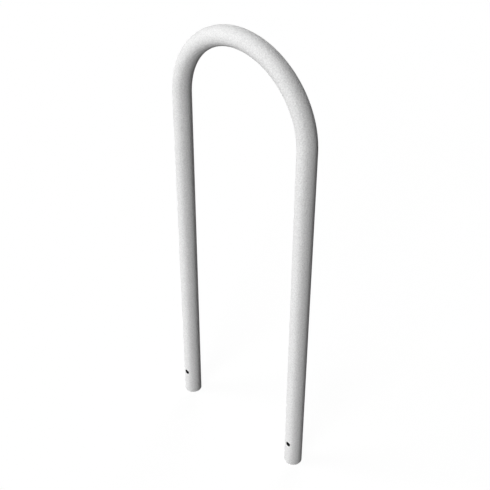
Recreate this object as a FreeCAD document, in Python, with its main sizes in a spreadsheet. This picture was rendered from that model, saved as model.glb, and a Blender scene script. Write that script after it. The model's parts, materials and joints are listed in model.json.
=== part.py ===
import FreeCAD, Part
import os

import Sketcher
from FreeCAD import Vector

# Hoop bike rack: a tall, narrow hoop of steel pipe whose two feet are set in concrete.
# Three lengths of pipe make it: the bent hoop, and two short ground legs that carry it down into the
# footing. The joints lie below grade. A sleeve inside each one lines up the two bores and backs the
# butt weld, which is ground flush with the pipe. A hole drilled across each ground leg takes an anchor
# rod before the concrete is poured.
#
# Frame: the origin lies midway between the feet, on the plane of their cut ends. +X runs from the left
# leg to the right leg, +Y runs through the hoop, and +Z is up. Lengths are millimetres, angles degrees.

SIZES = (
    ("overall_width", 457.2, "outside of one leg to outside of the other, 18 in"),
    ("overall_height", 1219.2, "cut end of a leg to the crown: 36 in above grade and 12 in below it"),
    ("ground_leg_length", 254.0, "cut end of a ground leg to its seam, which lies 2 in below grade"),
    ("pipe_diameter", 48.26, "outside diameter of 1-1/2 in steel pipe"),
    ("pipe_wall", 3.68, "wall of that pipe in schedule 40"),
    ("anchor_hole_diameter", 12.7, "hole drilled across a ground leg for a 1/2 in anchor rod"),
    ("anchor_hole_height", 76.2, "centre of that hole above the cut end"),
    ("foot_deburr", 0.5, "chamfer round the outside of a foot's cut end"),
    ("bevel_angle", 37.5, "weld bevel on each pipe end, from the plane of the cut"),
    ("root_face", 2.4, "square land left inside the bevel, where the pipes meet"),
    ("sleeve_length", 76.2, "joint sleeve, half of it in each of the two pipes"),
    ("sleeve_wall", 3.0, "wall of the joint sleeve"),
    ("sleeve_clearance", 0.15, "radial slip fit of the sleeve in the bore of the pipe"),
    ("sleeve_lead_in", 1.0, "chamfer round both ends of the sleeve"),
)

# Sizes that follow from the driving ones, as expressions on the sheet.
PIPE_RADIUS = "(sizes.pipe_diameter / 2)"
BORE_RADIUS = f"({PIPE_RADIUS} - sizes.pipe_wall)"
BEND_RADIUS = "((sizes.overall_width - sizes.pipe_diameter) / 2)"
SEAM_HEIGHT = "sizes.ground_leg_length"
HOOP_LEG = f"(sizes.overall_height - {PIPE_RADIUS} - {BEND_RADIUS} - {SEAM_HEIGHT})"
SLEEVE_RADIUS = f"({BORE_RADIUS} - sizes.sleeve_clearance)"
SLEEVE_BORE = f"({SLEEVE_RADIUS} - sizes.sleeve_wall)"
ROOT_RADIUS = f"({BORE_RADIUS} + sizes.root_face)"
BEVEL_DEPTH = "(sizes.pipe_wall - sizes.root_face)"
BEVEL_SLOPE = "tan(sizes.bevel_angle)"

# The two sides of the hoop: the name of each, and the direction of its leg along X.
SIDES = (("left", -1), ("right", 1))

# A line, arc or circle numbers its points from 1 up. A sketch's own two axes have the numbers -1 and -2.
START, END, CENTRE = range(1, 4)
X_AXIS, Y_AXIS = range(-1, -3, -1)

FULL_TURN = 360
TOLERANCE = 1e-6


def make_sheet(doc):
    """Put the driving dimensions in a spreadsheet, one to a row, each with its alias and a note."""
    sheet = doc.addObject("Spreadsheet::Sheet", "sizes")
    for row, (alias, size, note) in enumerate(SIZES, start=1):
        sheet.set(f"A{row}", alias)
        sheet.set(f"B{row}", str(size))
        sheet.setAlias(f"B{row}", alias)
        sheet.set(f"C{row}", note)
    doc.recompute()


def value(doc, expression):
    """Work out an expression on the sheet, so that a sketch starts at its final size."""
    return float(doc.getObject("sizes").evalExpression(expression))


def make_body(doc, name, across, height):
    """Start a sub-part whose own origin stands at (across, 0, height) in the rack's frame."""
    body = doc.addObject("PartDesign::Body", name)
    body.Label = name
    body.setExpression("Placement.Base.x", across)
    body.setExpression("Placement.Base.z", height)
    return body


def origin_plane(body, role):
    """Find one of the body's own origin planes."""
    return next(plane for plane in body.Origin.OriginFeatures if plane.Role == role)


def make_sketch(body, name, role):
    """Add an empty sketch on one of the body's origin planes."""
    sketch = body.newObject("Sketcher::SketchObject", f"{body.Name}_{name}")
    sketch.AttachmentSupport = [(origin_plane(body, role), "")]
    sketch.MapMode = "FlatFace"
    return sketch


def bind(sketch, name, expression, *constraint):
    """Add a named dimension to a sketch and tie it to an expression on the sheet."""
    size = value(sketch.Document, expression)
    index = sketch.addConstraint(Sketcher.Constraint(*constraint, size))
    sketch.renameConstraint(index, name)
    sketch.setExpression(f"Constraints.{name}", expression)


def draw_circle(sketch, radius, centre):
    """Draw a circle of a radius given as an expression, and return its number in the sketch."""
    size = value(sketch.Document, radius)
    return sketch.addGeometry(Part.Circle(centre, Vector(0, 0, 1), size), False)


def draw_ring(sketch, outer_radius, inner_radius, across="0"):
    """Draw the cross-section of a pipe, centred on the sketch's X axis at the distance across."""
    centre = Vector(value(sketch.Document, across), 0, 0)
    outer = draw_circle(sketch, outer_radius, centre)
    inner = draw_circle(sketch, inner_radius, centre)
    sketch.addConstraint(Sketcher.Constraint("Coincident", outer, CENTRE, inner, CENTRE))
    if across == "0":
        sketch.addConstraint(Sketcher.Constraint("Coincident", outer, CENTRE, X_AXIS, START))
    else:
        sketch.addConstraint(Sketcher.Constraint("PointOnObject", outer, CENTRE, X_AXIS))
        bind(sketch, "across", across, "DistanceX", X_AXIS, START, outer, CENTRE)
    bind(sketch, "outer_radius", outer_radius, "Radius", outer)
    bind(sketch, "inner_radius", inner_radius, "Radius", inner)


def draw_polygon(sketch, corners):
    """Draw a closed outline. Each corner is a pair of expressions, measured from the sketch's origin."""
    doc = sketch.Document
    points = [Vector(value(doc, across), value(doc, up), 0) for across, up in corners]
    followers = list(range(1, len(points))) + [0]
    for line, following in enumerate(followers):
        sketch.addGeometry(Part.LineSegment(points[line], points[following]), False)
    for line, following in enumerate(followers):
        sketch.addConstraint(Sketcher.Constraint("Coincident", line, END, following, START))
    for line, (across, up) in enumerate(corners):
        bind(sketch, f"across_{line}", across, "DistanceX", X_AXIS, START, line, START)
        bind(sketch, f"up_{line}", up, "DistanceY", X_AXIS, START, line, START)


def make_tube(body, outer_radius, inner_radius, length, centred=False):
    """Pad a straight tube up from the body's origin, or half to each side of it."""
    section = make_sketch(body, "section", "XY_Plane")
    draw_ring(section, outer_radius, inner_radius)
    tube = body.newObject("PartDesign::Pad", f"{body.Name}_tube")
    tube.Profile = section
    tube.setExpression("Length", length)
    tube.Midplane = centred
    body.Document.recompute()
    return tube


def check_cut(feature, before):
    """Stop if a cut took nothing away from the solid that it started from."""
    feature.Document.recompute()
    if feature.Shape.Volume > before.Shape.Volume - TOLERANCE:
        raise RuntimeError(f"{feature.Name} cuts nothing")


def find_rims(shape, radius, height):
    """Name the circular edges of one radius at one height."""
    rims = []
    for number, edge in enumerate(shape.Edges, start=1):
        is_circle = edge.Curve.TypeId == "Part::GeomCircle"
        if is_circle and abs(edge.Curve.Radius - radius) + abs(edge.CenterOfMass.z - height) < TOLERANCE:
            rims.append(f"Edge{number}")
    return rims


def chamfer_rims(body, before, name, size, rims):
    """Chamfer the named edges by a size given as an expression."""
    chamfer = body.newObject("PartDesign::Chamfer", f"{body.Name}_{name}")
    chamfer.Base = (before, rims)
    chamfer.setExpression("Size", size)
    check_cut(chamfer, before)
    return chamfer


def cut_weld_bevel(body, before, pipe_axis, seam, into_pipe):
    """Groove the weld bevel round a pipe end, down to its square root face.

    The pipe stands on its axis at the distance pipe_axis along X. Its end lies at the height seam, and
    into_pipe is 1 where the metal lies above the end and -1 where it lies below.
    """
    sketch = make_sketch(body, "bevel_section", "XZ_Plane")
    overshoot = "sizes.pipe_wall"
    outside = f"{pipe_axis} + {PIPE_RADIUS} + {overshoot}"
    rise = f"({BEVEL_DEPTH} + {overshoot}) * {BEVEL_SLOPE}"
    draw_polygon(sketch, (
        (f"{pipe_axis} + {ROOT_RADIUS}", seam),
        (outside, seam),
        (outside, f"{seam} + {into_pipe} * {rise}"),
    ))
    across = value(body.Document, pipe_axis)
    axis = sketch.addGeometry(Part.LineSegment(Vector(across, 0, 0), Vector(across, 1, 0)), True)
    sketch.addConstraint(Sketcher.Constraint("PointOnObject", axis, START, X_AXIS))
    sketch.addConstraint(Sketcher.Constraint("Vertical", axis))
    bind(sketch, "axis_across", pipe_axis, "DistanceX", X_AXIS, START, axis, START)
    bind(sketch, "axis_length", PIPE_RADIUS, "DistanceY", axis, START, axis, END)
    body.Document.recompute()

    groove = body.newObject("PartDesign::Groove", f"{body.Name}_weld_bevel")
    groove.Profile = sketch
    groove.ReferenceAxis = (sketch, ["Axis0"])
    groove.Angle = FULL_TURN
    check_cut(groove, before)
    return groove


def drill_anchor_hole(body, before):
    """Drill across both walls of a ground leg, square to the plane of the hoop."""
    sketch = make_sketch(body, "anchor_hole_circle", "XZ_Plane")
    centre = Vector(0, value(body.Document, "sizes.anchor_hole_height"), 0)
    circle = draw_circle(sketch, "sizes.anchor_hole_diameter / 2", centre)
    sketch.addConstraint(Sketcher.Constraint("PointOnObject", circle, CENTRE, Y_AXIS))
    bind(sketch, "height", "sizes.anchor_hole_height", "DistanceY", X_AXIS, START, circle, CENTRE)
    bind(sketch, "diameter", "sizes.anchor_hole_diameter", "Diameter", circle)
    hole = body.newObject("PartDesign::Pocket", f"{body.Name}_anchor_hole")
    hole.Profile = sketch
    hole.Type = "ThroughAll"
    hole.Midplane = True
    check_cut(hole, before)


def make_hoop(doc):
    """The hoop: pipe swept up one leg, round a half turn and down the other, bevelled at both ends."""
    body = make_body(doc, "hoop", "0", SEAM_HEIGHT)
    left_leg_axis = f"-1 * {BEND_RADIUS}"
    section = make_sketch(body, "section", "XY_Plane")
    draw_ring(section, PIPE_RADIUS, BORE_RADIUS, left_leg_axis)

    path = make_sketch(body, "path", "XZ_Plane")
    radius = value(doc, BEND_RADIUS)
    top = value(doc, HOOP_LEG)
    left_foot, left_top = Vector(-radius, 0, 0), Vector(-radius, top, 0)
    right_foot, right_top = Vector(radius, 0, 0), Vector(radius, top, 0)
    left = path.addGeometry(Part.LineSegment(left_foot, left_top), False)
    bend = path.addGeometry(Part.Arc(right_top, Vector(0, top + radius, 0), left_top), False)
    right = path.addGeometry(Part.LineSegment(right_top, right_foot), False)
    path.addConstraint(Sketcher.Constraint("Tangent", left, END, bend, END))
    path.addConstraint(Sketcher.Constraint("Tangent", bend, START, right, START))
    path.addConstraint(Sketcher.Constraint("PointOnObject", left, START, X_AXIS))
    path.addConstraint(Sketcher.Constraint("PointOnObject", right, END, X_AXIS))
    path.addConstraint(Sketcher.Constraint("PointOnObject", bend, CENTRE, Y_AXIS))
    path.addConstraint(Sketcher.Constraint("Vertical", left))
    bind(path, "bend_radius", BEND_RADIUS, "Radius", bend)
    bind(path, "hoop_leg", HOOP_LEG, "DistanceY", X_AXIS, START, bend, CENTRE)
    doc.recompute()

    pipe = body.newObject("PartDesign::AdditivePipe", "hoop_pipe")
    pipe.Profile = section
    pipe.Spine = (path, ["Edge1", "Edge2", "Edge3"])
    doc.recompute()

    left_bevel = cut_weld_bevel(body, pipe, left_leg_axis, "0", 1)
    both_bevels = body.newObject("PartDesign::Mirrored", "hoop_both_bevels")
    both_bevels.Originals = [left_bevel]
    both_bevels.MirrorPlane = (origin_plane(body, "YZ_Plane"), [""])
    body.Tip = both_bevels
    check_cut(both_bevels, left_bevel)


def make_ground_leg(doc, side, direction):
    """A ground leg: bevelled at the top, cut square and deburred at the foot, drilled for its rod."""
    body = make_body(doc, f"{side}_ground_leg", f"{direction} * {BEND_RADIUS}", "0")
    pipe = make_tube(body, PIPE_RADIUS, BORE_RADIUS, SEAM_HEIGHT)
    bevel = cut_weld_bevel(body, pipe, "0", SEAM_HEIGHT, -1)
    foot_rim = find_rims(bevel.Shape, value(doc, PIPE_RADIUS), height=0)
    deburr = chamfer_rims(body, bevel, "foot_deburr", "sizes.foot_deburr", foot_rim)
    drill_anchor_hole(body, deburr)


def make_joint_sleeve(doc, side, direction):
    """A joint sleeve: a short tube centred on the seam, with a lead-in chamfer at each end."""
    body = make_body(doc, f"{side}_joint_sleeve", f"{direction} * {BEND_RADIUS}", SEAM_HEIGHT)
    tube = make_tube(body, SLEEVE_RADIUS, SLEEVE_BORE, "sizes.sleeve_length", centred=True)
    radius = value(doc, SLEEVE_RADIUS)
    half_length = value(doc, "sizes.sleeve_length / 2")
    rims = find_rims(tube.Shape, radius, half_length) + find_rims(tube.Shape, radius, -half_length)
    chamfer_rims(body, tube, "lead_in", "sizes.sleeve_lead_in", rims)


def make_weld(doc, side, direction):
    """A weld: the ring that fills the V between two bevels and ends flush with the pipe outside."""
    body = make_body(doc, f"{side}_weld", f"{direction} * {BEND_RADIUS}", SEAM_HEIGHT)
    section = make_sketch(body, "section", "XZ_Plane")
    half_width = f"{BEVEL_DEPTH} * {BEVEL_SLOPE}"
    draw_polygon(section, (
        (ROOT_RADIUS, "0"),
        (PIPE_RADIUS, half_width),
        (PIPE_RADIUS, f"-1 * {half_width}"),
    ))
    ring = body.newObject("PartDesign::Revolution", f"{body.Name}_ring")
    ring.Profile = section
    ring.ReferenceAxis = (section, ["V_Axis"])
    ring.Angle = FULL_TURN
    doc.recompute()


def check_document(doc):
    """Stop on any feature that failed and on any sub-part that isn't one valid solid."""
    for item in doc.Objects:
        if "Invalid" in item.State or "Error" in item.State:
            raise RuntimeError(f"{item.Name} failed: {item.State}")
    bodies = [item for item in doc.Objects if item.TypeId == "PartDesign::Body"]
    for body in bodies:
        if body.Shape.isNull() or not body.Shape.isValid() or len(body.Shape.Solids) != 1:
            raise RuntimeError(f"{body.Label} is not one valid solid")
    return bodies


def export(bodies):
    """Write each sub-part to its own file and print what it measures."""
    os.makedirs("parts", exist_ok=True)
    for body in bodies:
        body.Shape.exportStep(f"parts/{body.Label}.step")
        box = body.Shape.optimalBoundingBox(True, False)
        print(
            f"{body.Label}: volume {body.Shape.Volume:.1f} mm3,"
            f" x {box.XMin:.2f} to {box.XMax:.2f}, z {box.ZMin:.2f} to {box.ZMax:.2f}"
        )


def main():
    doc = FreeCAD.newDocument("hoop_bike_rack")
    make_sheet(doc)
    make_hoop(doc)
    for side, direction in SIDES:
        make_ground_leg(doc, side, direction)
        make_joint_sleeve(doc, side, direction)
        make_weld(doc, side, direction)
    doc.recompute()
    export(check_document(doc))


main()
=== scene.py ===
# %% [markdown]
# A hoop bike rack, dressed for its portrait
#
# The rack is one tall hoop of steel pipe. Its two feet go into concrete, and a rod passed through the
# hole near each foot keeps it from being pulled out. The pipe is a bent hoop and two short ground legs,
# with a sleeve inside each joint and a ring of weld ground flush around it.
#
# The construction comes ready made, as a frame of plain solids. This file reads that frame, measures it,
# and stands a finished mesh in the place of each solid. Nothing here changes a size.

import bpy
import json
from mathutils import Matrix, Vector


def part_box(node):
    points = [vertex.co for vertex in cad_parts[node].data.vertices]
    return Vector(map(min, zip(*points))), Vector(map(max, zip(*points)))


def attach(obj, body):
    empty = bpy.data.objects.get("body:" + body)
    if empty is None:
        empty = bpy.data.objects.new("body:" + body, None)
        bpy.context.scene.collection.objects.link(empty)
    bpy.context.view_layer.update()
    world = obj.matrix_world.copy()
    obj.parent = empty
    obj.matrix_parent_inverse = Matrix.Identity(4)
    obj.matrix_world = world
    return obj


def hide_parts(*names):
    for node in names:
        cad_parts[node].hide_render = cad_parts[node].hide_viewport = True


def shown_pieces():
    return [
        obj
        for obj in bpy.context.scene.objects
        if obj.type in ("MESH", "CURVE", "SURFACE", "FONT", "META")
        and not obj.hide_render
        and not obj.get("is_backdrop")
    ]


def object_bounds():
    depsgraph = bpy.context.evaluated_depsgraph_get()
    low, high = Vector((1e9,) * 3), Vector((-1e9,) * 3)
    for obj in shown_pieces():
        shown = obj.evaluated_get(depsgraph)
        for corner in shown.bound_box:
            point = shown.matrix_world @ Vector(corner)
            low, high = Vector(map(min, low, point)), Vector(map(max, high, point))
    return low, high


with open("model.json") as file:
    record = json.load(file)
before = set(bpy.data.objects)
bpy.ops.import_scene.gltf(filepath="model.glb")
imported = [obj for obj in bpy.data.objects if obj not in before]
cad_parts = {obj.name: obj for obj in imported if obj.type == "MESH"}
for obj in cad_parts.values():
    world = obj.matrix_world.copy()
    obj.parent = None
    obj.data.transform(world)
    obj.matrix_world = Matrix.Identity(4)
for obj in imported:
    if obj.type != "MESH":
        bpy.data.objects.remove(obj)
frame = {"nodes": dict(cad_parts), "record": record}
cad_low, cad_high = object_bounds()
print("nodes:", ", ".join(sorted(frame["nodes"])))
print("box in metres:", [round(high - low, 4) for low, high in zip(cad_low, cad_high)])

# %% Tools for the rest of the file
import json
import math

import bmesh
import bpy
from mathutils import Vector

# %% [markdown]
# Measuring the frame
#
# Every main size is read from the frame, so that this file holds none that could disagree with it. Only
# the roundings and the sleeves' small chamfer are set further down. A node's box gives its height and its
# place. A pipe's radii are the largest and smallest distances of its points from its own axis, which
# stands upright through the middle of the box.

# %% Measure the pipe, its joints and its anchor holes
def measure_radii(node):
    """Give the largest and smallest distance of a node's points from its own upright axis, and the axis."""
    low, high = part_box(node)
    axis_across = (low.x + high.x) / 2
    distances = [math.hypot(v.co.x - axis_across, v.co.y) for v in frame["nodes"][node].data.vertices]
    return max(distances), min(distances), axis_across


SIDES = ("left", "right")
hoop_low, hoop_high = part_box("hoop")
pipe_radius, bore_radius, _ = measure_radii("left_ground_leg")
sleeve_radius, sleeve_bore, _ = measure_radii("left_joint_sleeve")
root_radius = measure_radii("left_weld")[1]
leg_axis = {side: measure_radii(f"{side}_ground_leg")[2] for side in SIDES}

seam_height = hoop_low.z
bend_radius = hoop_high.x - pipe_radius
hoop_leg = hoop_high.z - pipe_radius - bend_radius - seam_height
weld_half_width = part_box("left_weld")[1].z - seam_height
sleeve_low, sleeve_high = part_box("left_joint_sleeve")

anchor = next(mount for mount in frame["record"]["mounts"] if mount["name"] == "left_anchor_hole")
hole_radius = anchor["dims"]["r_mm"] / 1000
hole_height = anchor["pos_m"][2]
print(f"pipe {pipe_radius * 2000:.2f} mm across, wall {(pipe_radius - bore_radius) * 1000:.2f} mm")
print(f"bend radius {bend_radius * 1000:.2f} mm, straight {hoop_leg * 1000:.2f} mm above each seam")
print(f"anchor holes {hole_radius * 2000:.1f} mm across, {hole_height * 1000:.1f} mm up")

# %% [markdown]
# The camera
#
# The photograph looks down on the rack from its front right corner, within a degree of the isometric view
# of a drawing program, which is turned by 45 degrees and tilted by 54.7 from straight down. A drawing
# program would use a parallel camera, but here the legs draw together towards the feet, so it is one with
# a lens. Its place, angles and lens were found by laying the model's outline over the photograph's. The
# lens is given in pixels of the picture, which is how such a fit comes out.

# %% Camera
PICTURE_SIDE = 490
FOCAL_PIXELS = 964.24
CAMERA_PLACE = Vector((1.3988, -1.4150, 2.0715))
CAMERA_TILT = 54.178
CAMERA_ROLL = -0.163
CAMERA_TURN = 44.522

camera = bpy.data.objects.new("camera", bpy.data.cameras.new("camera"))
bpy.context.scene.collection.objects.link(camera)
bpy.context.scene.camera = camera
camera.location = CAMERA_PLACE
camera.rotation_euler = [math.radians(angle) for angle in (CAMERA_TILT, CAMERA_ROLL, CAMERA_TURN)]
camera.data.lens = FOCAL_PIXELS / PICTURE_SIDE * camera.data.sensor_width
print(f"lens {camera.data.lens:.2f} mm, camera {CAMERA_PLACE.length:.2f} m from the feet")

# %% [markdown]
# Nodes as Python expressions
#
# Meshes and materials below are both made of nodes. A long formula is hard to read as a list of nodes
# and links, so two small classes help. A Wire is one output of a node, and adding or multiplying wires
# adds the Math nodes that do it. A Tree adds any other node in one call: first its settings, then the
# number, colour or wire that each of its sockets takes.

# %% Wire: one output of a node
def pick(sockets, key):
    """Find a socket by its number, or by its name among those that the node's settings leave in use."""
    if isinstance(key, int):
        return sockets[key]
    return next(socket for socket in sockets if socket.enabled and socket.name == key)


class Wire:
    """One output of a node, which can stand in an expression."""

    def __init__(self, tree, socket):
        self.tree = tree
        self.socket = socket

    def output(self, name):
        """Another output of the same node."""
        return Wire(self.tree, pick(self.socket.node.outputs, name))

    def __add__(self, other):
        return self.tree.math("ADD", self, other)

    def __sub__(self, other):
        return self.tree.math("SUBTRACT", self, other)

    def __rsub__(self, other):
        return self.tree.math("SUBTRACT", other, self)

    def __mul__(self, other):
        return self.tree.math("MULTIPLY", self, other)

    def __truediv__(self, other):
        return self.tree.math("DIVIDE", self, other)

    __radd__ = __add__
    __rmul__ = __mul__


# %% Tree: adds nodes to a mesh or a material
class Tree:
    """Adds nodes to a tree, whether it makes a mesh or a material."""

    def __init__(self, node_tree):
        self.nodes = node_tree.nodes
        self.links = node_tree.links

    def add(self, kind, sockets=None, output=0, **settings):
        """Add a node with its settings, fill its sockets, and give one of its outputs."""
        node = self.nodes.new(kind)
        for name, setting in settings.items():
            setattr(node, name, setting)
        for name, filling in (sockets or {}).items():
            socket = pick(node.inputs, name)
            if isinstance(filling, Wire):
                self.links.new(filling.socket, socket)
            else:
                socket.default_value = filling
        return Wire(self, pick(node.outputs, output)) if node.outputs else None

    def math(self, operation, first, second=0.0):
        """Add a Math node for two numbers or wires."""
        return self.add("ShaderNodeMath", {0: first, 1: second}, operation=operation)

    def split(self, vector):
        """Give a vector's three parts."""
        parts = self.add("ShaderNodeSeparateXYZ", {0: vector})
        return [parts.output(axis) for axis in "XYZ"]

    def join(self, x, y, z):
        """Make a vector of three parts."""
        return self.add("ShaderNodeCombineXYZ", {0: x, 1: y, 2: z})

    def distance(self, across, up):
        """Give the length of the long side of a right triangle."""
        return self.math("SQRT", across * across + up * up)

    def ease(self, value, start, end):
        """Rise smoothly from 0 at the start to 1 at the end."""
        return self.add(
            "ShaderNodeMapRange", {"Value": value, "From Min": start, "From Max": end},
            interpolation_type="SMOOTHSTEP",
        )


# %% [markdown]
# The finish on the pipe
#
# The photograph shows a pale grey, nearly matt pipe. Its shading runs evenly from light to dark, with no
# highlight. A fine grain covers it. The grain is twice as strong where the light falls off as where it
# falls straight on, so it is partly relief, low lumps some 4 mm across, and partly colour. That is what a
# textured coat on steel looks like, baked on as a powder.
#
# A flat grey would miss all of it. An image of a coat would tile and stretch. Noise that is read at each
# point's own place in space has no seams, so three sizes of it make the coat. The lumps raise the surface
# by about a tenth of a millimetre. A finer grain speckles it and roughens it for a close look. A slow drift
# makes the grey a touch uneven from one end of the pipe to the other.
#
# The coat runs thin on sharp rims, where it is a little darker and smoother.

# %% Helpers for finishes
NOISE_ROUGHNESS = 0.55


def new_material(name):
    """Start a material, and give its tree and its main shader."""
    material = bpy.data.materials.new(name)
    material.use_nodes = True
    return material, Tree(material.node_tree), material.node_tree.nodes["Principled BSDF"]


def feed(tree, shader, **wires):
    """Link wires to the shader's sockets. A socket's name is written with _ in place of its spaces."""
    for name, wire in wires.items():
        tree.links.new(wire.socket, shader.inputs[name.replace("_", " ")])


def noise(tree, place, per_metre, detail=2.0):
    """Noise from -0.5 to 0.5 at a place, with this many features to the metre."""
    sockets = {"Vector": place, "Scale": per_metre, "Detail": detail, "Roughness": NOISE_ROUGHNESS}
    return tree.add("ShaderNodeTexNoise", sockets) - 0.5


def mix_colours(tree, factor, first, second):
    """Blend two colours, each of them plain or a wire."""
    sockets = {"Factor": factor, "A": first, "B": second}
    return tree.add("ShaderNodeMix", sockets, output="Result", data_type="RGBA")


def relief(tree, height):
    """Tip the surface as a relief of this height, in metres, would tip it."""
    return tree.add("ShaderNodeBump", {"Strength": 1.0, "Distance": 1.0, "Height": height})


# %% Coat
COAT_DARK = (0.66, 0.66, 0.66, 1)
COAT_PALE = (0.90, 0.90, 0.90, 1)
GRAIN_PER_METRE = 320
LUMPS_PER_METRE = 260
DRIFT_PER_METRE = 9
GRAIN_CONTRAST = 2.0
DRIFT_CONTRAST = 0.2
GRAIN_HEIGHT = 0.00012
LUMP_HEIGHT = 0.0010
COAT_ROUGHNESS = 0.68
GRAIN_ROUGHNESS = 0.25
COAT_GLOSS = 0.12
THIN_RIM = 0.0020
THIN_DARKENING = 0.27
THIN_SMOOTHING = 0.12


def near_rims(tree, place):
    """Rise to 1 at the cut end of each foot and round each anchor hole."""
    x, _, z = tree.split(place)
    across = tree.math("ABSOLUTE", x) - leg_axis["right"]
    from_hole = tree.distance(across, z - hole_height) - hole_radius
    to_rim = tree.math("MINIMUM", tree.math("ABSOLUTE", from_hole), z)
    return 1 - tree.ease(to_rim, 0.0, THIN_RIM)


def make_coat():
    material, tree, shader = new_material("textured_grey_coat")
    place = tree.add("ShaderNodeTexCoord", output="Object")
    grain = noise(tree, place, GRAIN_PER_METRE, detail=3.0)
    lumps = noise(tree, place, LUMPS_PER_METRE, detail=1.0)
    drift = noise(tree, place, DRIFT_PER_METRE)
    thin = near_rims(tree, place)

    amount = 0.5 + grain * GRAIN_CONTRAST + drift * DRIFT_CONTRAST - thin * THIN_DARKENING
    grey = mix_colours(tree, amount, COAT_DARK, COAT_PALE)
    roughness = COAT_ROUGHNESS + grain * GRAIN_ROUGHNESS - thin * THIN_SMOOTHING
    height = grain * GRAIN_HEIGHT + lumps * LUMP_HEIGHT
    feed(tree, shader, Base_Color=grey, Roughness=roughness, Normal=relief(tree, height))
    shader.inputs["Specular IOR Level"].default_value = COAT_GLOSS
    return material


coat = make_coat()
print("finish:", coat.name, "with", len(coat.node_tree.nodes), "nodes")

# %% [markdown]
# The bare steel inside, with painted shade
#
# The powder reaches only a finger's breadth into an open end. Further in, the pipe keeps the blue-grey
# scale of the rolling mill, dull and dark, with a few brown spots. Its greys are set darker than the scale
# itself, as painted shade of the pipe's inside, so that it shows through the anchor holes as near black.
# The joint sleeve was turned on a lathe: bright steel with fine rings.
#
# Both are noise again. The powder's edge in the bore follows the height above the foot, and the same
# cloud that mottles the scale makes that edge waver. The sleeve's noise is read along its axis alone, which
# draws it out into rings.

# %% Mill scale, with painted shade
# The bore's greys are near black: partly the scale's own colour, partly painted shade of the pipe's inside.
SCALE_AND_SHADE_DARK = (0.012, 0.013, 0.015, 1)
SCALE_AND_SHADE_PALE = (0.036, 0.038, 0.042, 1)
SCALE_BROWN = (0.055, 0.030, 0.018, 1)
SCALE_ROUGHNESS = 0.6
SCALE_GLOSS = 0.1
CLOUDS_PER_METRE = 90
CLOUD_CONTRAST = 1.6
CLOUD_HEIGHT = 0.0002
CLOUD_ROUGHNESS = 0.4
SPOTS_PER_METRE = 260
SPOT_BEGINS = 0.10
SPOT_IS_FULL = 0.17
SPOT_STRENGTH = 0.7
SPOT_DEPTH = 0.00005
OVERSPRAY_IS_FULL = 0.004
OVERSPRAY_ENDS = 0.018
OVERSPRAY_WAVER = 0.02


def make_mill_scale_and_shade():
    material, tree, shader = new_material("mill_scale")
    place = tree.add("ShaderNodeTexCoord", output="Object")
    _, _, z = tree.split(place)
    cloud = noise(tree, place, CLOUDS_PER_METRE, detail=4.0)
    spots = tree.ease(noise(tree, place, SPOTS_PER_METRE, detail=3.0), SPOT_BEGINS, SPOT_IS_FULL)
    overspray = 1 - tree.ease(z + cloud * OVERSPRAY_WAVER, OVERSPRAY_IS_FULL, OVERSPRAY_ENDS)

    scale = mix_colours(tree, cloud * CLOUD_CONTRAST + 0.5, SCALE_AND_SHADE_DARK, SCALE_AND_SHADE_PALE)
    scale = mix_colours(tree, spots * SPOT_STRENGTH, scale, SCALE_BROWN)
    scale = mix_colours(tree, overspray, scale, COAT_DARK)
    roughness = SCALE_ROUGHNESS + cloud * CLOUD_ROUGHNESS
    height = cloud * CLOUD_HEIGHT - spots * SPOT_DEPTH
    feed(tree, shader, Base_Color=scale, Roughness=roughness, Normal=relief(tree, height))
    shader.inputs["Specular IOR Level"].default_value = SCALE_GLOSS
    return material


mill_scale = make_mill_scale_and_shade()
print("finish:", mill_scale.name, "with", len(mill_scale.node_tree.nodes), "nodes")

# %% Turned steel
TURNED_DARK = (0.36, 0.36, 0.37, 1)
TURNED_PALE = (0.50, 0.50, 0.51, 1)
TURNED_ROUGHNESS = 0.34
RINGS_PER_METRE = 4500
RING_HEIGHT = 0.00001
RING_ROUGHNESS = 0.2
SHADES_PER_METRE = 60


def make_turned_steel():
    material, tree, shader = new_material("turned_steel")
    place = tree.add("ShaderNodeTexCoord", output="Object")
    _, _, z = tree.split(place)
    rings = noise(tree, tree.join(0.0, 0.0, z * RINGS_PER_METRE), 1.0)
    shades = noise(tree, place, SHADES_PER_METRE)

    steel = mix_colours(tree, rings + shades + 0.5, TURNED_DARK, TURNED_PALE)
    roughness = TURNED_ROUGHNESS + rings * RING_ROUGHNESS
    feed(tree, shader, Base_Color=steel, Roughness=roughness, Normal=relief(tree, rings * RING_HEIGHT))
    shader.inputs["Metallic"].default_value = 1.0
    return material


turned_steel = make_turned_steel()
print("finish:", turned_steel.name, "with", len(turned_steel.node_tree.nodes), "nodes")

# %% [markdown]
# The outline of a pipe's wall
#
# Cut a pipe in half lengthwise and its wall shows as a long thin strip. Every piece of this rack is such
# a strip turned round an axis, so each starts as an outline: up the outside, in across the top end, down
# the bore and out across the bottom end. Each corner is a pair, radius and height. What differs is the
# ends: a weld bevel, a sawn foot with its rims rounded by the file and the coat, or a chamfer.
#
# The heights are those of the rack laid out straight, as its cutting list has it: from the left foot at 0
# to the right foot at the far end. The bend comes later.

# %% Wall outlines
FOOT_ROUNDING = 0.0005
BORE_ROUNDING = 0.0003
LEAD_IN = 0.001
ROUNDING_STEPS = 4
BEND_STEPS = 96

spring_height = seam_height + hoop_leg
bend_length = math.pi * bend_radius
pipe_length = 2 * spring_height + bend_length


def rounded_corner(radius, height, size, start):
    """A quarter circle of corners round a centre, which turns clockwise from an angle in degrees."""
    turns = [math.radians(start - 90 * step / ROUNDING_STEPS) for step in range(ROUNDING_STEPS + 1)]
    return [(radius + size * math.cos(turn), height + size * math.sin(turn)) for turn in turns]


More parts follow.
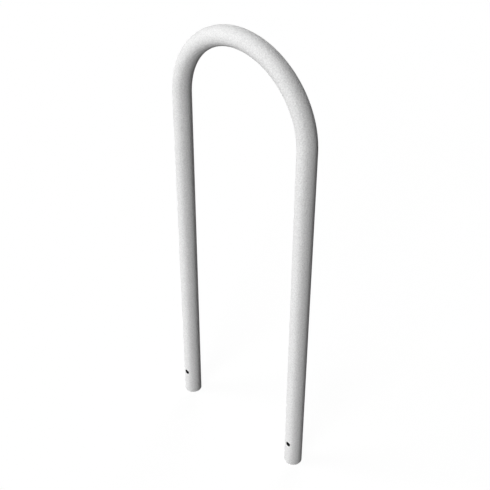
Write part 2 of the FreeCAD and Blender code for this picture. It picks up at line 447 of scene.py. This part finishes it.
def outline(start, end, near_end, far_end, stations=()):
    """Join two ends into a closed outline, with a corner on each side of the wall at every station.

    An end is a list of corners from the outside to the bore, with heights above the pipe's cut.
    """
    outside = [(near_end[0][0], station) for station in stations]
    bore = [(near_end[-1][0], station) for station in reversed(stations)]
    far = [(radius, end - height) for radius, height in far_end]
    near = [(radius, start + height) for radius, height in reversed(near_end)]
    return outside + far + bore + near


weld_bevel = [(pipe_radius, weld_half_width), (root_radius, 0.0), (bore_radius, 0.0)]
sawn_foot = (
    rounded_corner(pipe_radius - FOOT_ROUNDING, FOOT_ROUNDING, FOOT_ROUNDING, 0)
    + rounded_corner(bore_radius + BORE_ROUNDING, BORE_ROUNDING, BORE_ROUNDING, 270)
)
chamfer = [(sleeve_radius, LEAD_IN), (sleeve_radius - LEAD_IN, 0.0), (sleeve_bore, 0.0)]
weld_section = [(pipe_radius, -weld_half_width), (pipe_radius, weld_half_width), (root_radius, 0.0)]
print(f"the straight pipe is {pipe_length * 1000:.1f} mm long, of which {bend_length * 1000:.1f} mm bends")

# %% [markdown]
# Turning the outline
#
# A lathe makes a round thing from an outline, and Blender's Screw modifier could do the same. Geometry
# Nodes do it here, because the bend that follows is nodes too. The tree takes a flat grid and lays it
# round the axis: one side of the grid goes once round, and the other follows the outline's corners. The
# grid's edges meet where it closes, and Merge by Distance joins them into one closed wall.
#
# Before anything bends, each point's place is kept in an attribute. Later it tells which faces lie in the
# bore, wherever the bend has carried them.

# %% Helper: start a tree with named inputs
def start_mesh_tree(name, inputs):
    """Start a tree with named inputs, and give it with a wire for each input."""
    group = bpy.data.node_groups.new(name, "GeometryNodeTree")
    group.interface.new_socket("Geometry", in_out="OUTPUT", socket_type="NodeSocketGeometry")
    for title, socket_type in [("Geometry", "NodeSocketGeometry"), *inputs]:
        group.interface.new_socket(title, in_out="INPUT", socket_type=socket_type)
    tree = Tree(group)
    start = tree.add("NodeGroupInput")
    return group, tree, {title: start.output(title) for title in ["Geometry", *dict(inputs)]}


# %% First half of the tree: a straight pipe
PIPE_PLACE = "pipe_place"
MERGE_DISTANCE = 0.000001


def turn_outline(tree, given):
    """Lay a grid round the axis, along the outline, and keep each point's place."""
    corners = tree.add("GeometryNodeAttributeDomainSize", {"Geometry": given["Geometry"]})
    grid = tree.add("GeometryNodeMeshGrid", {
        "Size X": 1.0,
        "Size Y": 1.0,
        "Vertices X": given["Steps Around"] + 1,
        "Vertices Y": corners + 1,
    })
    position = tree.add("GeometryNodeInputPosition")
    around, along, _ = tree.split(position)
    turn = (around + 0.5) * (2 * math.pi)
    corner = tree.math("MODULO", tree.math("ROUND", (along + 0.5) * corners), corners)
    from_outline = tree.add(
        "GeometryNodeSampleIndex",
        {"Geometry": given["Geometry"], "Value": position, "Index": corner},
        data_type="FLOAT_VECTOR",
    )
    radius, _, height = tree.split(from_outline)
    place = tree.join(radius * tree.math("COSINE", turn), radius * tree.math("SINE", turn), height)
    turned = tree.add("GeometryNodeSetPosition", {"Geometry": grid, "Position": place})
    closed = tree.add("GeometryNodeMergeByDistance", {"Geometry": turned, "Distance": MERGE_DISTANCE})
    return tree.add(
        "GeometryNodeStoreNamedAttribute",
        {"Geometry": closed, "Name": PIPE_PLACE, "Value": position},
        data_type="FLOAT_VECTOR",
        domain="POINT",
    )


# %% [markdown]
# Bending the pipe
#
# A maker draws the pipe round a former, a grooved half wheel. The pipe stays straight up to the spring,
# where the bend begins, then turns half a turn about one centre, and comes down straight again. Blender
# has a Simple Deform and a Curve modifier for this, but a bend this plain is a rule of three lines.
#
# How far a point has turned is its distance past the spring divided by the bend's radius, held between
# nothing and half a turn. Points inside the bend turn on a smaller circle and points outside on a larger
# one, as in the real pipe, which thickens inside the bend and stretches outside it.
#
# The last nodes smooth the round faces, keep the sharp edges, and give the bore its own finish.

# %% Second half of the tree: round the former
def bend_on_former(tree, given, mesh):
    """Bend a straight pipe that stands on the left foot, half a turn to the right."""
    inward, through, travel = tree.split(tree.add("GeometryNodeInputPosition"))
    past_spring = travel - given["Spring Height"]
    turn = tree.add(
        "ShaderNodeClamp", {"Value": past_spring / given["Bend Radius"], "Min": 0.0, "Max": math.pi},
    )
    radius = given["Bend Radius"] - inward
    up = tree.math("MINIMUM", travel, given["Spring Height"])
    down = tree.math("MAXIMUM", past_spring - given["Bend Radius"] * math.pi, 0.0)
    across = radius * tree.math("COSINE", turn) * -1.0
    height = up - down + radius * tree.math("SINE", turn)
    place = tree.join(across, through, height)
    return tree.add("GeometryNodeSetPosition", {"Geometry": mesh, "Position": place})


# %% Last nodes of the tree: edges and finishes
SHARP_ANGLE = math.radians(32)
BORE_MARGIN = 0.0001


def finish_wall(tree, given, mesh):
    """Smooth the round faces, keep the sharp edges, and set the two finishes."""
    smooth = tree.add("GeometryNodeSetShadeSmooth", {"Geometry": mesh}, domain="FACE")
    edge_angle = tree.add("GeometryNodeInputMeshEdgeAngle")
    creased = tree.add(
        "GeometryNodeStoreNamedAttribute",
        {
            "Geometry": smooth,
            "Name": "sharp_edge",
            "Value": tree.math("GREATER_THAN", edge_angle, SHARP_ANGLE),
        },
        data_type="BOOLEAN",
        domain="EDGE",
    )
    inward, through, _ = tree.split(
        tree.add("GeometryNodeInputNamedAttribute", {"Name": PIPE_PLACE}, data_type="FLOAT_VECTOR")
    )
    in_bore = tree.math("LESS_THAN", tree.distance(inward, through), given["Bore Radius"] + BORE_MARGIN)
    realized = tree.add("GeometryNodeRealizeInstances", {"Geometry": creased})
    coated = tree.add("GeometryNodeSetMaterial", {"Geometry": realized, "Material": given["Finish"]})
    return tree.add(
        "GeometryNodeSetMaterial",
        {"Geometry": coated, "Selection": in_bore, "Material": given["Bore Finish"]},
    )


# %% The whole tree
TREE_INPUTS = (
    ("Steps Around", "NodeSocketInt"),
    ("Spring Height", "NodeSocketFloat"),
    ("Bend Radius", "NodeSocketFloat"),
    ("Bore Radius", "NodeSocketFloat"),
    ("Finish", "NodeSocketMaterial"),
    ("Bore Finish", "NodeSocketMaterial"),
)
bent_pipe, tree, given = start_mesh_tree("bent_pipe", TREE_INPUTS)
straight_mesh = turn_outline(tree, given)
bent_mesh = bend_on_former(tree, given, straight_mesh)
tree.add("NodeGroupOutput", {"Geometry": finish_wall(tree, given, bent_mesh)})
print("tree:", bent_pipe.name, "with", len(bent_pipe.nodes), "nodes")

# %% [markdown]
# Making a piece
#
# Each piece goes the same way. Its outline becomes a mesh of corners and edges, the tree turns and bends
# it, and the result is kept as a plain mesh with no modifier left on it. A modifier's input is set by the
# identifier of its socket, because two sockets may share a name.

# %% Helper: one piece from an outline
STEPS_AROUND = 128


def set_inputs(modifier, values):
    """Set a modifier's inputs by the names of the tree's sockets."""
    for item in modifier.node_group.interface.items_tree:
        if item.in_out == "INPUT" and item.name in values:
            modifier[item.identifier] = values[item.name]


def make_pipe_piece(name, corners, bore, finish, bore_finish):
    """Turn and bend one outline, and give the object that holds the finished mesh."""
    mesh = bpy.data.meshes.new(name)
    edges = [(corner, (corner + 1) % len(corners)) for corner in range(len(corners))]
    mesh.from_pydata([(radius, 0, height) for radius, height in corners], edges, [])
    piece = bpy.data.objects.new(name, mesh)
    bpy.context.scene.collection.objects.link(piece)
    modifier = piece.modifiers.new("bent_pipe", "NODES")
    modifier.node_group = bent_pipe
    set_inputs(modifier, {
        "Steps Around": STEPS_AROUND,
        "Spring Height": spring_height,
        "Bend Radius": bend_radius,
        "Bore Radius": bore,
        "Finish": finish,
        "Bore Finish": bore_finish,
    })
    depsgraph = bpy.context.evaluated_depsgraph_get()
    made = bpy.data.meshes.new_from_object(
        piece.evaluated_get(depsgraph), preserve_all_data_layers=True, depsgraph=depsgraph,
    )
    # The tree's own mesh starts with an empty material slot, which has no use here
    while None in list(made.materials):
        made.materials.pop(index=list(made.materials).index(None))
    made.attributes.remove(made.attributes[PIPE_PLACE])
    piece.modifiers.clear()
    piece.data = made
    bpy.data.meshes.remove(mesh)
    made.name = name
    print(f"{name}: {len(made.polygons)} faces, finishes {[m.name for m in made.materials]}")
    return piece


# %% [markdown]
# The hoop
#
# The bent pipe itself, all that shows above ground. Its outline has a corner about every two degrees of
# the bend, so that the curve is smooth, and none on the straight legs, where none is needed.

# %% Hoop
bend_stations = [spring_height + bend_length * step / BEND_STEPS for step in range(BEND_STEPS + 1)]
hoop_outline = outline(seam_height, pipe_length - seam_height, weld_bevel, weld_bevel, bend_stations)
hoop = make_pipe_piece("hoop_pipe", hoop_outline, bore_radius, coat, mill_scale)
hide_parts("hoop")
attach(hoop, "root")

# %% [markdown]
# The sleeves and the welds
#
# A sleeve slips half its length into each of the two bores, lines them up and backs the weld. It can only
# be seen by looking up an open foot. The weld fills the V between the two bevels and is ground flush, so
# all that shows of it is a band two millimetres wide, under the same coat as the pipe.
#
# The right joint lies near the far end of the straight pipe, so its heights are counted back from there.

# %% Helper: lay an outline on one side
def on_side(side, corners):
    """Turn an outline end for end for the right side, at the far end of the straight pipe."""
    if side == "left":
        return corners
    return [(radius, pipe_length - height) for radius, height in reversed(corners)]


# %% Sleeves and welds
sleeve_outline = outline(sleeve_low.z, sleeve_high.z, chamfer, chamfer)
weld_outline = [(radius, seam_height + height) for radius, height in weld_section]
for side in SIDES:
    corners = on_side(side, sleeve_outline)
    sleeve = make_pipe_piece(f"{side}_sleeve", corners, sleeve_bore, turned_steel, turned_steel)
    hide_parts(f"{side}_joint_sleeve")
    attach(sleeve, "root")
    weld = make_pipe_piece(f"{side}_weld_ring", on_side(side, weld_outline), root_radius, coat, coat)
    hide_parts(f"{side}_weld")
    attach(weld, "root")

# %% [markdown]
# The ground legs and their anchor holes
#
# A ground leg starts as the same turned pipe. Its hole could be cut with a Boolean, which leaves slivers
# and a razor edge where the drill met the curved wall. On the real leg that edge is dressed, so that it
# can't cut a hand, and what is left is a narrow rounded rim.
#
# So the hole's points and faces are made one by one. A square window is opened in the outside of the wall
# and another in the bore. Rings of points then lead from the window's edge to a circle on the curved
# surface, over a rounded rim, through the wall, over the inner rim and out to the other window. Every ring
# has as many points as the window's edge, so that rows of four-sided faces join them all.
#
# The coat ends where the outer rim begins. In the photograph the holes are black to their edge, so the rims
# and the wall of the hole have the dark finish of the bore, which paints the hole's shade on them.

# %% Helper: a window in one surface of the wall
WINDOW_STEPS = 8
SURFACE_MARGIN = 0.00005
window_half_angle = 2 * math.pi * WINDOW_STEPS / STEPS_AROUND
window_half_height = pipe_radius * math.sin(window_half_angle)


def open_window(drilled, axis_across, wall, radius):
    """Take a square of faces out of the outside or the bore, in the front wall (-1) or the back wall (1).

    It gives the corners of the window's edge in the order of their angle, as the drill sees them.
    """
    half_across = radius * math.sin(window_half_angle)

    def is_in_window(face):
        middle = face.calc_center_median()
        on_surface = all(
            abs(math.hypot(v.co.x - axis_across, v.co.y) - radius) < SURFACE_MARGIN for v in face.verts
        )
        is_near_across = abs(middle.x - axis_across) < half_across
        is_near_up = abs(middle.z - hole_height) < window_half_height
        return on_surface and is_near_across and is_near_up and middle.y * wall > 0

    faces = [face for face in drilled.faces if is_in_window(face)]
    edge = {v for face in faces for v in face.verts if any(other not in faces for other in v.link_faces)}
    bmesh.ops.delete(drilled, geom=faces, context="FACES")
    return sorted(edge, key=lambda v: math.atan2(v.co.z - hole_height, v.co.x - axis_across))


print(f"window {window_half_height * 2000:.1f} mm high for a hole {hole_radius * 2000:.1f} mm across")

# %% Helper: the rings of points through one wall
OUTER_RIM = 0.0008
INNER_RIM = 0.0003
RIM_STEPS = 4
BLEND_STEPS = 3


def rings_of_hole(directions, outer_edge, inner_edge, wall):
    """List the rings of points through one wall, from the window outside to the window in the bore.

    A point is given from the middle of the drilled hole: across, along the drill, and up.
    """

    def surface_depth(radius, across):
        return wall * math.sqrt(radius * radius - across * across)

    def blend(edge, radius, rim):
        """Rings on a round surface, from the window's square edge to the circle where the rim begins."""
        for step in range(1, BLEND_STEPS + 1):
            share = step / BLEND_STEPS
            ring = []
            for (across, up), (cosine, sine) in zip(edge, directions):
                across += ((hole_radius + rim) * cosine - across) * share
                up += ((hole_radius + rim) * sine - up) * share
                ring.append((across, surface_depth(radius, across), up))
            yield ring

    def round_rim(radius, rim, into_wall):
        """Rings over a rounded rim, from the surface to the wall of the hole."""
        for step in range(1, RIM_STEPS + 1):
            turn = math.pi / 2 * step / RIM_STEPS
            reach = hole_radius + rim * (1 - math.sin(turn))
            sink = wall * into_wall * rim * (1 - math.cos(turn))
            ring = []
            for cosine, sine in directions:
                depth = surface_depth(radius, (hole_radius + rim) * cosine) + sink
                ring.append((reach * cosine, depth, reach * sine))
            yield ring

    outside = [*blend(outer_edge, pipe_radius, OUTER_RIM), *round_rim(pipe_radius, OUTER_RIM, -1)]
    inside = [*blend(inner_edge, bore_radius, INNER_RIM), *round_rim(bore_radius, INNER_RIM, 1)]
    return outside + inside[::-1]


print("rings through a wall:", 2 * (BLEND_STEPS + RIM_STEPS))

# %% Helper: drill one wall
# The second finish, the bore's near-black one, paints the hole's shade on its rims and wall.
COATED, PAINTED_SHADE = range(2)


def drill_wall(drilled, axis_across, wall):
    """Join the window outside to the window in the bore, round the anchor hole."""
    outer = open_window(drilled, axis_across, wall, pipe_radius)
    inner = open_window(drilled, axis_across, wall, bore_radius)
    outer_edge, inner_edge = (
        [(v.co.x - axis_across, v.co.z - hole_height) for v in edge] for edge in (outer, inner)
    )
    directions = []
    for across, up in outer_edge:
        length = math.hypot(across, up)
        directions.append((across / length, up / length))
    rows = [outer]
    for ring in rings_of_hole(directions, outer_edge, inner_edge, wall):
        rows.append([drilled.verts.new((axis_across + x, y, hole_height + z)) for x, y, z in ring])
    rows.append(inner)
    for row, (near, far) in enumerate(zip(rows, rows[1:])):
        # Rims and wall of the hole: the bore's dark finish as painted shade.
        finish = COATED if row < BLEND_STEPS else PAINTED_SHADE
        for step in range(len(near)):
            following = (step + 1) % len(near)
            corners = (near[step], near[following], far[following], far[step])
            face = drilled.faces.new(corners if wall < 0 else corners[::-1])
            face.smooth = True
            face.material_index = finish
    return len(outer)


# %% Ground legs
window_rows = [
    hole_height + window_half_height * step / WINDOW_STEPS
    for step in range(-WINDOW_STEPS, WINDOW_STEPS + 1)
]
leg_outline = outline(0.0, seam_height, sawn_foot, weld_bevel, window_rows)
for side in SIDES:
    corners = on_side(side, leg_outline)
    leg = make_pipe_piece(f"{side}_leg_pipe", corners, bore_radius, coat, mill_scale)
    drilled = bmesh.new()
    drilled.from_mesh(leg.data)
    for wall in (-1, 1):
        points = drill_wall(drilled, leg_axis[side], wall)
    drilled.to_mesh(leg.data)
    drilled.free()
    print(f"{leg.name}: holes of {points} points each, {len(leg.data.polygons)} faces in all")
    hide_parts(f"{side}_ground_leg")
    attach(leg, "root")

# %% [markdown]
# Checking the meshes
#
# A mesh that a slicer or another program can use is closed, and its faces point outwards. Both can be
# counted: on a closed mesh every edge has exactly two faces, and if they point outwards the volume that
# they enclose is positive. The volume times the density of steel is the rack's weight.

# %% Check that every mesh is closed and faces outwards
STEEL_DENSITY = 7850

weight = 0
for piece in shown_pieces():
    checked = bmesh.new()
    checked.from_mesh(piece.data)
    open_edges = sum(len(edge.link_faces) != 2 for edge in checked.edges)
    volume = checked.calc_volume(signed=True)
    weight += volume * STEEL_DENSITY
    checked.free()
    print(f"{piece.name}: {open_edges} open edges, volume {volume * 1e6:.2f} cm3")
print(f"the rack weighs {weight:.2f} kg")

# %% [markdown]
# The light
#
# The photograph has no hard shadow and no highlight. Its tones depend on nothing but the way a surface
# faces: palest to the front left and upwards, darkest to the right. Fitting lamps to those tones gave
# three broad soft ones: a low one far left, a low one in front and a weak one overhead. A fourth stands
# low behind the rack, where the photograph's camera hardly sees its light, and keeps the back from going
# dark. A Sun lamp with a wide angle is such a lamp. It has no falloff, so the crown and the feet get the
# same light.
#
# Each lamp's strength is given as the share of full white that it lends to a white surface facing it.
# In Blender's own unit that is pi times as much.

# %% Lamps
SUN_SPREAD = math.radians(30)
# A lamp's name, azimuth, elevation and share of white
LAMPS = (
    ("far_left", -138, 19, 0.610),
    ("front", -74, 23, 0.645),
    ("overhead", 128, 61, 0.145),
    ("low_back", 120, 15, 0.320),
)


def add_soft_sun(name, azimuth, elevation, share):
    """Add a broad Sun, and give the share of white that it lends to the floor.

    Azimuth is counted from +X towards +Y, and both angles are in degrees.
    """
    lamp = bpy.data.objects.new(name, bpy.data.lights.new(name, "SUN"))
    bpy.context.scene.collection.objects.link(lamp)
    across, up = math.radians(azimuth), math.radians(elevation)
    towards = Vector((math.cos(up) * math.cos(across), math.cos(up) * math.sin(across), math.sin(up)))
    lamp.rotation_euler = towards.to_track_quat("Z", "Y").to_euler()
    lamp.data.angle = SUN_SPREAD
    lamp.data.energy = share * math.pi
    print(f"lamp {name}: strength {lamp.data.energy:.2f}")
    return towards.z * share


floor_light = sum(add_soft_sun(*lamp) for lamp in LAMPS)

# %% [markdown]
# The white around it
#
# The photograph's ground is plain white. If the world were that bright, it would flood the pipe with
# light from all sides and wash its shading out. So the world is dim for the light that falls on the rack,
# and white only where the camera, a reflection or a clear surface looks straight at it.

# %% World
WORLD_LEVEL = 0.04
WHITE = (1, 1, 1, 1)


def looked_at(tree):
    """Be 1 for what the camera, a reflection or a clear surface sees, and 0 for the light on a surface."""
    ray = tree.add("ShaderNodeLightPath", output="Is Camera Ray")
    seen = tree.math("MAXIMUM", ray, ray.output("Is Glossy Ray"))
    return tree.math("MAXIMUM", seen, ray.output("Is Transmission Ray"))


scene = bpy.context.scene
scene.view_settings.view_transform = "Standard"
world = bpy.data.worlds.new("white_surround")
scene.world = world
world.use_nodes = True
world.node_tree.nodes.clear()
world_tree = Tree(world.node_tree)
strength = WORLD_LEVEL + looked_at(world_tree) * (1 - WORLD_LEVEL)
background = world_tree.add("ShaderNodeBackground", {"Color": WHITE, "Strength": strength})
world_tree.add("ShaderNodeOutputWorld", {"Surface": background})
floor_light += WORLD_LEVEL
print(f"light on the floor, as a share of white: {floor_light:.3f}")

# %% [markdown]
# The floor
#
# The floor has to look white and still keep the rack's shadow. A white floor in this light would show
# grey, because the lamps stand low. So the floor is a matt surface of its own, and it glows by just as
# much as it lacks, but only for the camera. Where the rack holds the light back, the floor goes a
# little darker. From below the floor is clear, so that the open feet can be looked at.
#
# It lies a fifth of a millimetre below the feet, because two faces at one height would flicker.

# %% Floor
FLOOR_SIZE = 16.0
FLOOR_DROP = 0.0002
FLOOR_COLOUR = 0.10


def make_floor_finish():
    material = bpy.data.materials.new("pale_floor")
    material.use_nodes = True
    material.node_tree.nodes.clear()
    tree = Tree(material.node_tree)
    matt = tree.add("ShaderNodeBsdfDiffuse", {"Color": (FLOOR_COLOUR, FLOOR_COLOUR, FLOOR_COLOUR, 1)})
    lacking = 1 - FLOOR_COLOUR * floor_light
    glow = tree.add("ShaderNodeEmission", {"Strength": looked_at(tree) * lacking})
    both = tree.add("ShaderNodeAddShader", {0: matt, 1: glow})
    clear = tree.add("ShaderNodeBsdfTransparent")
    from_below = tree.add("ShaderNodeNewGeometry", output="Backfacing")
    surface = tree.add("ShaderNodeMixShader", {0: from_below, 1: both, 2: clear})
    tree.add("ShaderNodeOutputMaterial", {"Surface": surface})
    return material


half = FLOOR_SIZE / 2
floor_mesh = bpy.data.meshes.new("floor")
floor_corners = [(-half, -half), (half, -half), (half, half), (-half, half)]
floor_mesh.from_pydata([(x, y, -FLOOR_DROP) for x, y in floor_corners], [], [(0, 1, 2, 3)])
floor_mesh.materials.append(make_floor_finish())
floor = bpy.data.objects.new("floor", floor_mesh)
scene.collection.objects.link(floor)
floor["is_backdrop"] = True
print("floor:", FLOOR_SIZE, "m wide")

# %% [markdown]
# Keeping the size
#
# The rack is made of stock pipe, so dressing it mustn't change its size. The box round the finished meshes
# is compared with the box round the plain solids, and the growth should be nothing.

# %% Compare the sizes and finish
low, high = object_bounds()
growth = [round((visual - cad) * 1000, 3) for visual, cad in zip(high - low, cad_high - cad_low)]
print("grown by, in mm:", growth)
